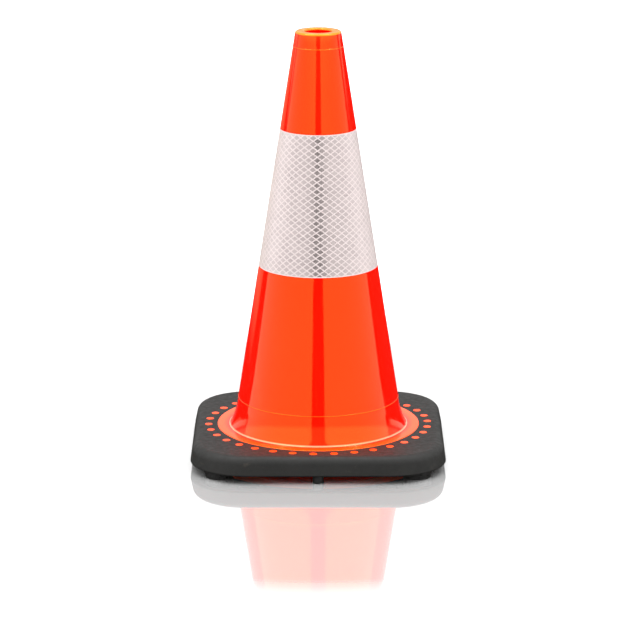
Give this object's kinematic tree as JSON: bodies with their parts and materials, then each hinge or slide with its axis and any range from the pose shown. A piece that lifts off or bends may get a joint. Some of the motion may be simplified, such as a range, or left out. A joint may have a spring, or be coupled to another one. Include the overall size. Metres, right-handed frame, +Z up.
{
  "type": "traffic cone",
  "caption": "Orange vinyl road cone with a black square base, moulded-in locking studs and one wide white reflective collar; nests over others of its kind.",
  "frame": {"origin": "centre of the square footprint, on the plane that the undersides of the feet stand on", "axes": "+Z up along the cone's axis; the square base's sides lie along X and Y; -Y is the front, and the collar's lap seam is at the back, on +Y"},
  "size_m": [0.2714, 0.2714, 0.4572],
  "materials": {
    "orange_vinyl": "glossy fluorescent orange-red soft vinyl",
    "stud_vinyl": "orange-red vinyl, trimmed flush",
    "black_vinyl": "matt charcoal recycled vinyl, fine grain",
    "foot_rubber": "coarse-grained black rubber",
    "peg_vinyl": "satin black vinyl",
    "backing_film": "white film",
    "reflective_film": "pearly prismatic sheeting with a sealed diamond lattice"
  },
  "bodies": {
    "root": {"cone_body": "orange_vinyl", "lock_ring": "stud_vinyl", "base": "black_vinyl", "corner_feet": "foot_rubber", "edge_pegs": "peg_vinyl", "collar_backing": "backing_film", "collar_face": "reflective_film"}
  },
  "joints": []
}
